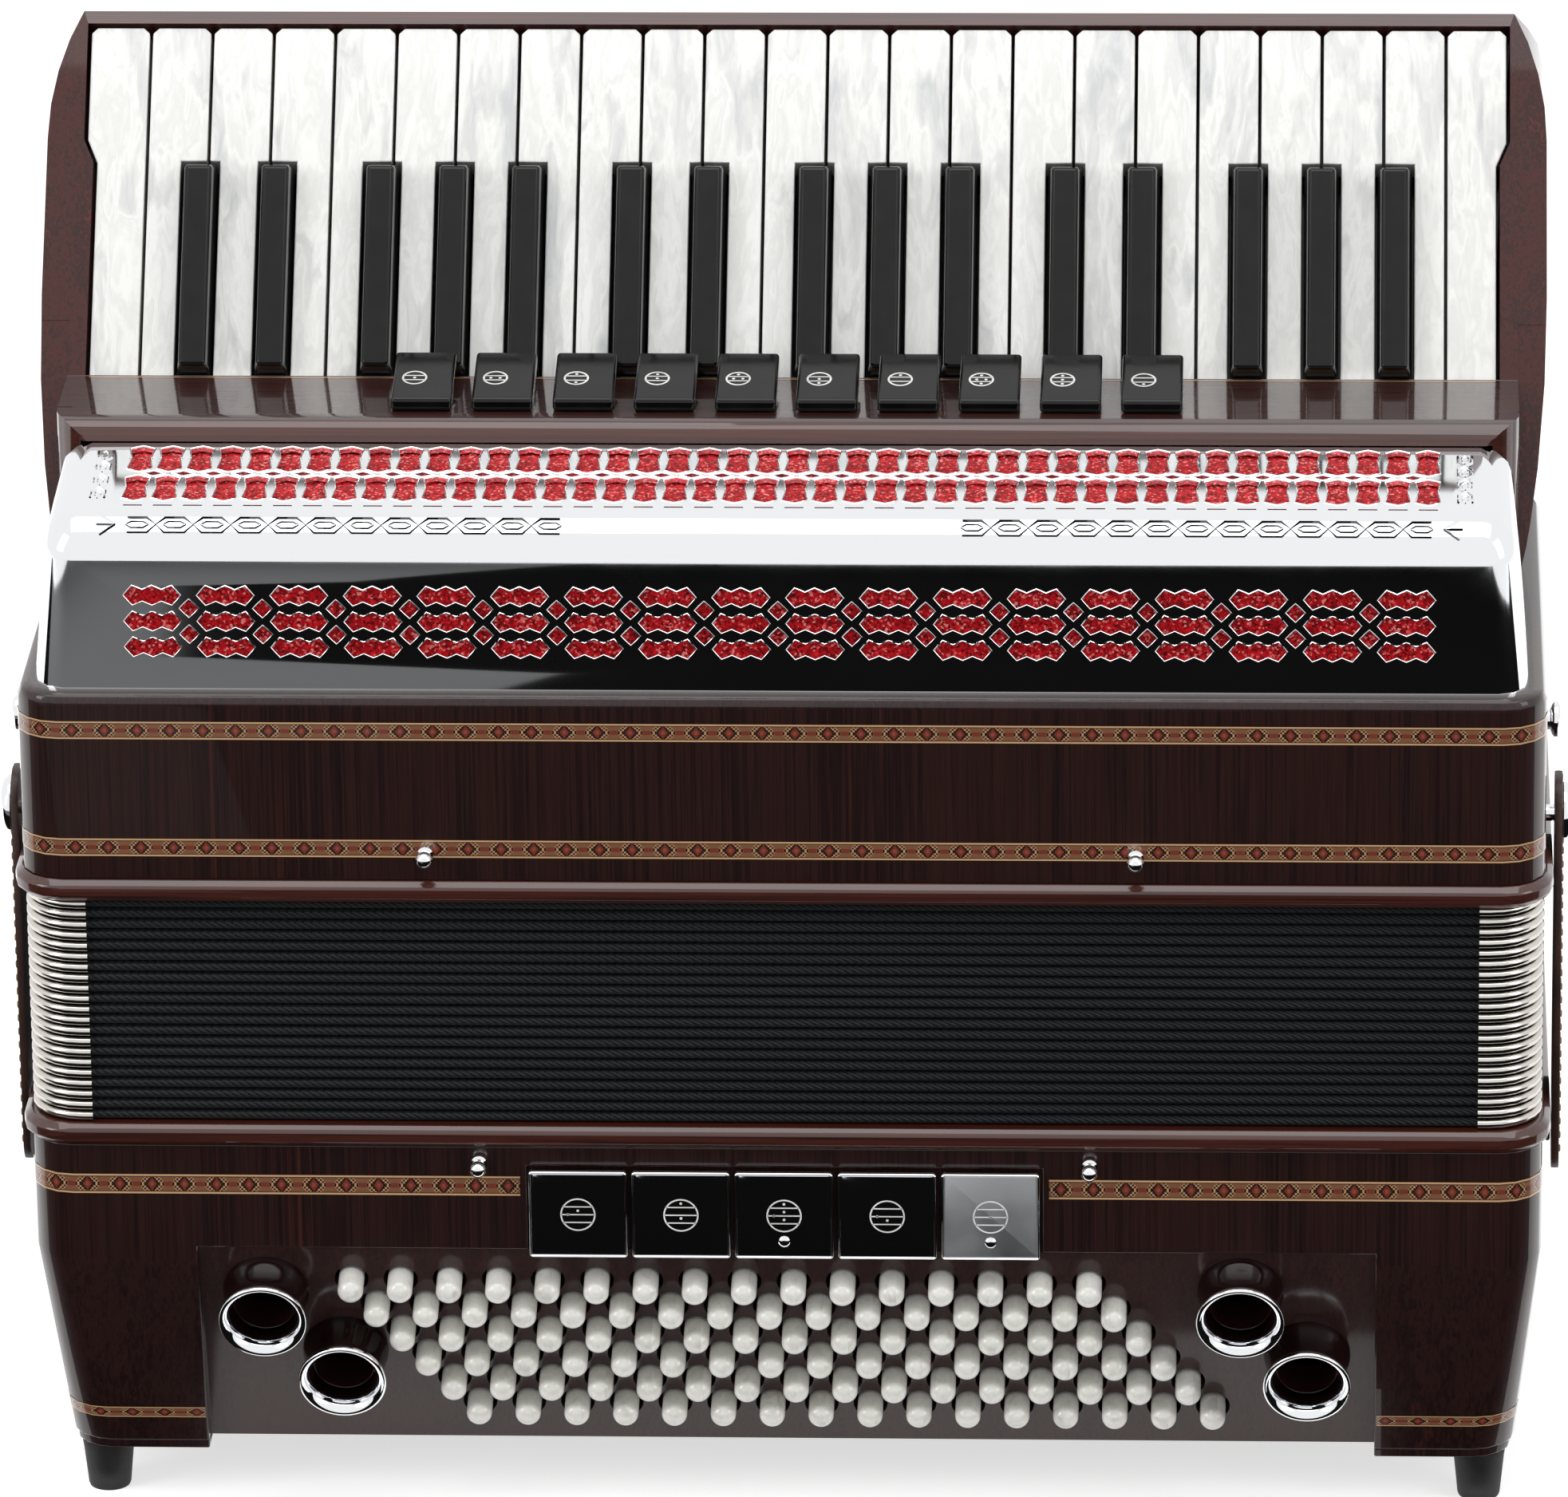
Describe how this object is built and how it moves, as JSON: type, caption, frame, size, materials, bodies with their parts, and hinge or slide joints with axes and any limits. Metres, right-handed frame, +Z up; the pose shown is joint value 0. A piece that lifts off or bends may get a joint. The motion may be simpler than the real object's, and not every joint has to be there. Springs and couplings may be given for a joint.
{
  "type": "piano accordion",
  "caption": "Piano accordion standing on its bass feet: leaning keyboard above a pierced chrome grille, pleated black bellows, and a bass end with rows of round buttons.",
  "frame": {"origin": "on the floor, under the middle of the whole object's box", "axes": "+X along the keyboard towards the high notes, +Y from the front (grille side) to the back, +Z up"},
  "size_m": [0.476, 0.2108, 0.4269],
  "materials": {
    "lacquer": "gloss",
    "red_lacquer": "gloss",
    "bellows_cloth": "matte",
    "chrome": "polished",
    "pearl_white": "gloss",
    "black_gloss": "gloss",
    "pearl_button": "gloss",
    "rubber": "matte",
    "red_cloth": "glitter",
    "brown_leather": "satin",
    "steel": "satin",
    "spruce": "satin",
    "dark_plate": "gloss"
  },
  "bodies": {
    "bass_side": {"bass_box": "lacquer", "bass_end_plate": "dark_plate", "bass_button_panel": "lacquer", "bass_sound_ports": "chrome", "bass_feet": "rubber", "bass_strap": "brown_leather", "bass_fittings": "chrome", "bass_bellows_frame": "red_lacquer", "bellows_folds": "bellows_cloth", "bellows_corners": "chrome"},
    "treble_side": {"treble_bellows_frame": "red_lacquer", "treble_box": "lacquer", "treble_reed_blocks": "spruce", "treble_fittings": "chrome", "bellows_straps": "brown_leather", "keyboard_body": "lacquer", "key_axle": "steel", "grille": "chrome", "grille_cloth": "red_cloth"},
    "bass_buttons": {"bass_buttons": "pearl_button"},
    "bass_registers": {"bass_registers": "chrome"},
    "white_key_01": {"white_key_01": "pearl_white"},
    "white_key_02": {"white_key_02": "pearl_white"},
    "white_key_03": {"white_key_03": "pearl_white"},
    "white_key_04": {"white_key_04": "pearl_white"},
    "white_key_05": {"white_key_05": "pearl_white"},
    "white_key_06": {"white_key_06": "pearl_white"},
    "white_key_07": {"white_key_07": "pearl_white"},
    "white_key_08": {"white_key_08": "pearl_white"},
    "white_key_09": {"white_key_09": "pearl_white"},
    "white_key_10": {"white_key_10": "pearl_white"},
    "white_key_11": {"white_key_11": "pearl_white"},
    "white_key_12": {"white_key_12": "pearl_white"},
    "white_key_13": {"white_key_13": "pearl_white"},
    "white_key_14": {"white_key_14": "pearl_white"},
    "white_key_15": {"white_key_15": "pearl_white"},
    "white_key_16": {"white_key_16": "pearl_white"},
    "white_key_17": {"white_key_17": "pearl_white"},
    "white_key_18": {"white_key_18": "pearl_white"},
    "white_key_19": {"white_key_19": "pearl_white"},
    "white_key_20": {"white_key_20": "pearl_white"},
    "white_key_21": {"white_key_21": "pearl_white"},
    "white_key_22": {"white_key_22": "pearl_white"},
    "white_key_23": {"white_key_23": "pearl_white"},
    "black_keys_1": {"black_keys_1": "black_gloss"},
    "black_keys_2": {"black_keys_2": "black_gloss"},
    "black_keys_3": {"black_keys_3": "black_gloss"},
    "black_keys_4": {"black_keys_4": "black_gloss"},
    "black_keys_5": {"black_keys_5": "black_gloss"},
    "black_keys_6": {"black_keys_6": "black_gloss"},
    "register_switch_01": {"register_switch_01": "black_gloss"},
    "register_switch_02": {"register_switch_02": "black_gloss"},
    "register_switch_03": {"register_switch_03": "black_gloss"},
    "register_switch_04": {"register_switch_04": "black_gloss"},
    "register_switch_05": {"register_switch_05": "black_gloss"},
    "register_switch_06": {"register_switch_06": "black_gloss"},
    "register_switch_07": {"register_switch_07": "black_gloss"},
    "register_switch_08": {"register_switch_08": "black_gloss"},
    "register_switch_09": {"register_switch_09": "black_gloss"},
    "register_switch_10": {"register_switch_10": "black_gloss"}
  },
  "joints": [
    {"name": "bellows_open", "type": "slide", "parent": "bass_side", "child": "treble_side", "axis": [0, 0, 1], "range_m": [0, 0.3], "deforming": ["bellows_folds", "bellows_corners"]},
    {"name": "bass_buttons_press", "type": "slide", "parent": "bass_side", "child": "bass_buttons", "axis": [0, 0.959, 0.2835], "range_m": [0, 0.003], "stiffness_N_per_m": 400, "springref_m": -0.0005},
    {"name": "bass_registers_press", "type": "slide", "parent": "bass_side", "child": "bass_registers", "axis": [0, 1, 0], "range_m": [0, 0.0025], "stiffness_N_per_m": 400, "springref_m": -0.0005},
    {"name": "white_key_01_press", "type": "hinge", "parent": "treble_side", "child": "white_key_01", "pos_m": [-0.20735, 0.0034, 0.31235], "axis": [-1, 0, 0], "range_deg": [0, 2.2], "stiffness_Nm_per_rad": 2, "springref_deg": -1.15},
    {"name": "white_key_02_press", "type": "hinge", "parent": "treble_side", "child": "white_key_02", "pos_m": [-0.1885, 0.0034, 0.31235], "axis": [-1, 0, 0], "range_deg": [0, 2.2], "stiffness_Nm_per_rad": 2, "springref_deg": -1.15},
    {"name": "white_key_03_press", "type": "hinge", "parent": "treble_side", "child": "white_key_03", "pos_m": [-0.16965, 0.0034, 0.31235], "axis": [-1, 0, 0], "range_deg": [0, 2.2], "stiffness_Nm_per_rad": 2, "springref_deg": -1.15},
    {"name": "white_key_04_press", "type": "hinge", "parent": "treble_side", "child": "white_key_04", "pos_m": [-0.1508, 0.0034, 0.31235], "axis": [-1, 0, 0], "range_deg": [0, 2.2], "stiffness_Nm_per_rad": 2, "springref_deg": -1.15},
    {"name": "white_key_05_press", "type": "hinge", "parent": "treble_side", "child": "white_key_05", "pos_m": [-0.13195, 0.0034, 0.31235], "axis": [-1, 0, 0], "range_deg": [0, 2.2], "stiffness_Nm_per_rad": 2, "springref_deg": -1.15},
    {"name": "white_key_06_press", "type": "hinge", "parent": "treble_side", "child": "white_key_06", "pos_m": [-0.1131, 0.0034, 0.31235], "axis": [-1, 0, 0], "range_deg": [0, 2.2], "stiffness_Nm_per_rad": 2, "springref_deg": -1.15},
    {"name": "white_key_07_press", "type": "hinge", "parent": "treble_side", "child": "white_key_07", "pos_m": [-0.09425, 0.0034, 0.31235], "axis": [-1, 0, 0], "range_deg": [0, 2.2], "stiffness_Nm_per_rad": 2, "springref_deg": -1.15},
    {"name": "white_key_08_press", "type": "hinge", "parent": "treble_side", "child": "white_key_08", "pos_m": [-0.0754, 0.0034, 0.31235], "axis": [-1, 0, 0], "range_deg": [0, 2.2], "stiffness_Nm_per_rad": 2, "springref_deg": -1.15},
    {"name": "white_key_09_press", "type": "hinge", "parent": "treble_side", "child": "white_key_09", "pos_m": [-0.05655, 0.0034, 0.31235], "axis": [-1, 0, 0], "range_deg": [0, 2.2], "stiffness_Nm_per_rad": 2, "springref_deg": -1.15},
    {"name": "white_key_10_press", "type": "hinge", "parent": "treble_side", "child": "white_key_10", "pos_m": [-0.0377, 0.0034, 0.31235], "axis": [-1, 0, 0], "range_deg": [0, 2.2], "stiffness_Nm_per_rad": 2, "springref_deg": -1.15},
    {"name": "white_key_11_press", "type": "hinge", "parent": "treble_side", "child": "white_key_11", "pos_m": [-0.01885, 0.0034, 0.31235], "axis": [-1, 0, 0], "range_deg": [0, 2.2], "stiffness_Nm_per_rad": 2, "springref_deg": -1.15},
    {"name": "white_key_12_press", "type": "hinge", "parent": "treble_side", "child": "white_key_12", "pos_m": [0, 0.0034, 0.31235], "axis": [-1, 0, 0], "range_deg": [0, 2.2], "stiffness_Nm_per_rad": 2, "springref_deg": -1.15},
    {"name": "white_key_13_press", "type": "hinge", "parent": "treble_side", "child": "white_key_13", "pos_m": [0.01885, 0.0034, 0.31235], "axis": [-1, 0, 0], "range_deg": [0, 2.2], "stiffness_Nm_per_rad": 2, "springref_deg": -1.15},
    {"name": "white_key_14_press", "type": "hinge", "parent": "treble_side", "child": "white_key_14", "pos_m": [0.0377, 0.0034, 0.31235], "axis": [-1, 0, 0], "range_deg": [0, 2.2], "stiffness_Nm_per_rad": 2, "springref_deg": -1.15},
    {"name": "white_key_15_press", "type": "hinge", "parent": "treble_side", "child": "white_key_15", "pos_m": [0.05655, 0.0034, 0.31235], "axis": [-1, 0, 0], "range_deg": [0, 2.2], "stiffness_Nm_per_rad": 2, "springref_deg": -1.15},
    {"name": "white_key_16_press", "type": "hinge", "parent": "treble_side", "child": "white_key_16", "pos_m": [0.0754, 0.0034, 0.31235], "axis": [-1, 0, 0], "range_deg": [0, 2.2], "stiffness_Nm_per_rad": 2, "springref_deg": -1.15},
    {"name": "white_key_17_press", "type": "hinge", "parent": "treble_side", "child": "white_key_17", "pos_m": [0.09425, 0.0034, 0.31235], "axis": [-1, 0, 0], "range_deg": [0, 2.2], "stiffness_Nm_per_rad": 2, "springref_deg": -1.15},
    {"name": "white_key_18_press", "type": "hinge", "parent": "treble_side", "child": "white_key_18", "pos_m": [0.1131, 0.0034, 0.31235], "axis": [-1, 0, 0], "range_deg": [0, 2.2], "stiffness_Nm_per_rad": 2, "springref_deg": -1.15},
    {"name": "white_key_19_press", "type": "hinge", "parent": "treble_side", "child": "white_key_19", "pos_m": [0.13195, 0.0034, 0.31235], "axis": [-1, 0, 0], "range_deg": [0, 2.2], "stiffness_Nm_per_rad": 2, "springref_deg": -1.15},
    {"name": "white_key_20_press", "type": "hinge", "parent": "treble_side", "child": "white_key_20", "pos_m": [0.1508, 0.0034, 0.31235], "axis": [-1, 0, 0], "range_deg": [0, 2.2], "stiffness_Nm_per_rad": 2, "springref_deg": -1.15},
    {"name": "white_key_21_press", "type": "hinge", "parent": "treble_side", "child": "white_key_21", "pos_m": [0.16965, 0.0034, 0.31235], "axis": [-1, 0, 0], "range_deg": [0, 2.2], "stiffness_Nm_per_rad": 2, "springref_deg": -1.15},
    {"name": "white_key_22_press", "type": "hinge", "parent": "treble_side", "child": "white_key_22", "pos_m": [0.1885, 0.0034, 0.31235], "axis": [-1, 0, 0], "range_deg": [0, 2.2], "stiffness_Nm_per_rad": 2, "springref_deg": -1.15},
    {"name": "white_key_23_press", "type": "hinge", "parent": "treble_side", "child": "white_key_23", "pos_m": [0.20735, 0.0034, 0.31235], "axis": [-1, 0, 0], "range_deg": [0, 2.2], "stiffness_Nm_per_rad": 2, "springref_deg": -1.15},
    {"name": "black_keys_1_press", "type": "hinge", "parent": "treble_side", "child": "black_keys_1", "pos_m": [-0.16965, 0.0034, 0.31235], "axis": [-1, 0, 0], "range_deg": [0, 2.2], "stiffness_Nm_per_rad": 4, "springref_deg": -1.15},
    {"name": "black_keys_2_press", "type": "hinge", "parent": "treble_side", "child": "black_keys_2", "pos_m": [-0.10368, 0.0034, 0.31235], "axis": [-1, 0, 0], "range_deg": [0, 2.2], "stiffness_Nm_per_rad": 4, "springref_deg": -1.15},
    {"name": "black_keys_3_press", "type": "hinge", "parent": "treble_side", "child": "black_keys_3", "pos_m": [-0.0377, 0.0034, 0.31235], "axis": [-1, 0, 0], "range_deg": [0, 2.2], "stiffness_Nm_per_rad": 4, "springref_deg": -1.15},
    {"name": "black_keys_4_press", "type": "hinge", "parent": "treble_side", "child": "black_keys_4", "pos_m": [0.02828, 0.0034, 0.31235], "axis": [-1, 0, 0], "range_deg": [0, 2.2], "stiffness_Nm_per_rad": 4, "springref_deg": -1.15},
    {"name": "black_keys_5_press", "type": "hinge", "parent": "treble_side", "child": "black_keys_5", "pos_m": [0.09425, 0.0034, 0.31235], "axis": [-1, 0, 0], "range_deg": [0, 2.2], "stiffness_Nm_per_rad": 4, "springref_deg": -1.15},
    {"name": "black_keys_6_press", "type": "hinge", "parent": "treble_side", "child": "black_keys_6", "pos_m": [0.16023, 0.0034, 0.31235], "axis": [-1, 0, 0], "range_deg": [0, 2.2], "stiffness_Nm_per_rad": 4, "springref_deg": -1.15},
    {"name": "register_switch_01_tilt", "type": "hinge", "parent": "treble_side", "child": "register_switch_01", "pos_m": [-0.1098, -0.01668, 0.3343], "axis": [-1, 0, 0], "range_deg": [0, 6], "stiffness_Nm_per_rad": 0.5, "springref_deg": -1.15},
    {"name": "register_switch_02_tilt", "type": "hinge", "parent": "treble_side", "child": "register_switch_02", "pos_m": [-0.0854, -0.01668, 0.3343], "axis": [-1, 0, 0], "range_deg": [0, 6], "stiffness_Nm_per_rad": 0.5, "springref_deg": -1.15},
    {"name": "register_switch_03_tilt", "type": "hinge", "parent": "treble_side", "child": "register_switch_03", "pos_m": [-0.061, -0.01668, 0.3343], "axis": [-1, 0, 0], "range_deg": [0, 6], "stiffness_Nm_per_rad": 0.5, "springref_deg": -1.15},
    {"name": "register_switch_04_tilt", "type": "hinge", "parent": "treble_side", "child": "register_switch_04", "pos_m": [-0.0366, -0.01668, 0.3343], "axis": [-1, 0, 0], "range_deg": [0, 6], "stiffness_Nm_per_rad": 0.5, "springref_deg": -1.15},
    {"name": "register_switch_05_tilt", "type": "hinge", "parent": "treble_side", "child": "register_switch_05", "pos_m": [-0.0122, -0.01668, 0.3343], "axis": [-1, 0, 0], "range_deg": [0, 6], "stiffness_Nm_per_rad": 0.5, "springref_deg": -1.15},
    {"name": "register_switch_06_tilt", "type": "hinge", "parent": "treble_side", "child": "register_switch_06", "pos_m": [0.0122, -0.01668, 0.3343], "axis": [-1, 0, 0], "range_deg": [0, 6], "stiffness_Nm_per_rad": 0.5, "springref_deg": -1.15},
    {"name": "register_switch_07_tilt", "type": "hinge", "parent": "treble_side", "child": "register_switch_07", "pos_m": [0.0366, -0.01668, 0.3343], "axis": [-1, 0, 0], "range_deg": [0, 6], "stiffness_Nm_per_rad": 0.5, "springref_deg": -1.15},
    {"name": "register_switch_08_tilt", "type": "hinge", "parent": "treble_side", "child": "register_switch_08", "pos_m": [0.061, -0.01668, 0.3343], "axis": [-1, 0, 0], "range_deg": [0, 6], "stiffness_Nm_per_rad": 0.5, "springref_deg": -1.15},
    {"name": "register_switch_09_tilt", "type": "hinge", "parent": "treble_side", "child": "register_switch_09", "pos_m": [0.0854, -0.01668, 0.3343], "axis": [-1, 0, 0], "range_deg": [0, 6], "stiffness_Nm_per_rad": 0.5, "springref_deg": -1.15},
    {"name": "register_switch_10_tilt", "type": "hinge", "parent": "treble_side", "child": "register_switch_10", "pos_m": [0.1098, -0.01668, 0.3343], "axis": [-1, 0, 0], "range_deg": [0, 6], "stiffness_Nm_per_rad": 0.5, "springref_deg": -1.15}
  ]
}
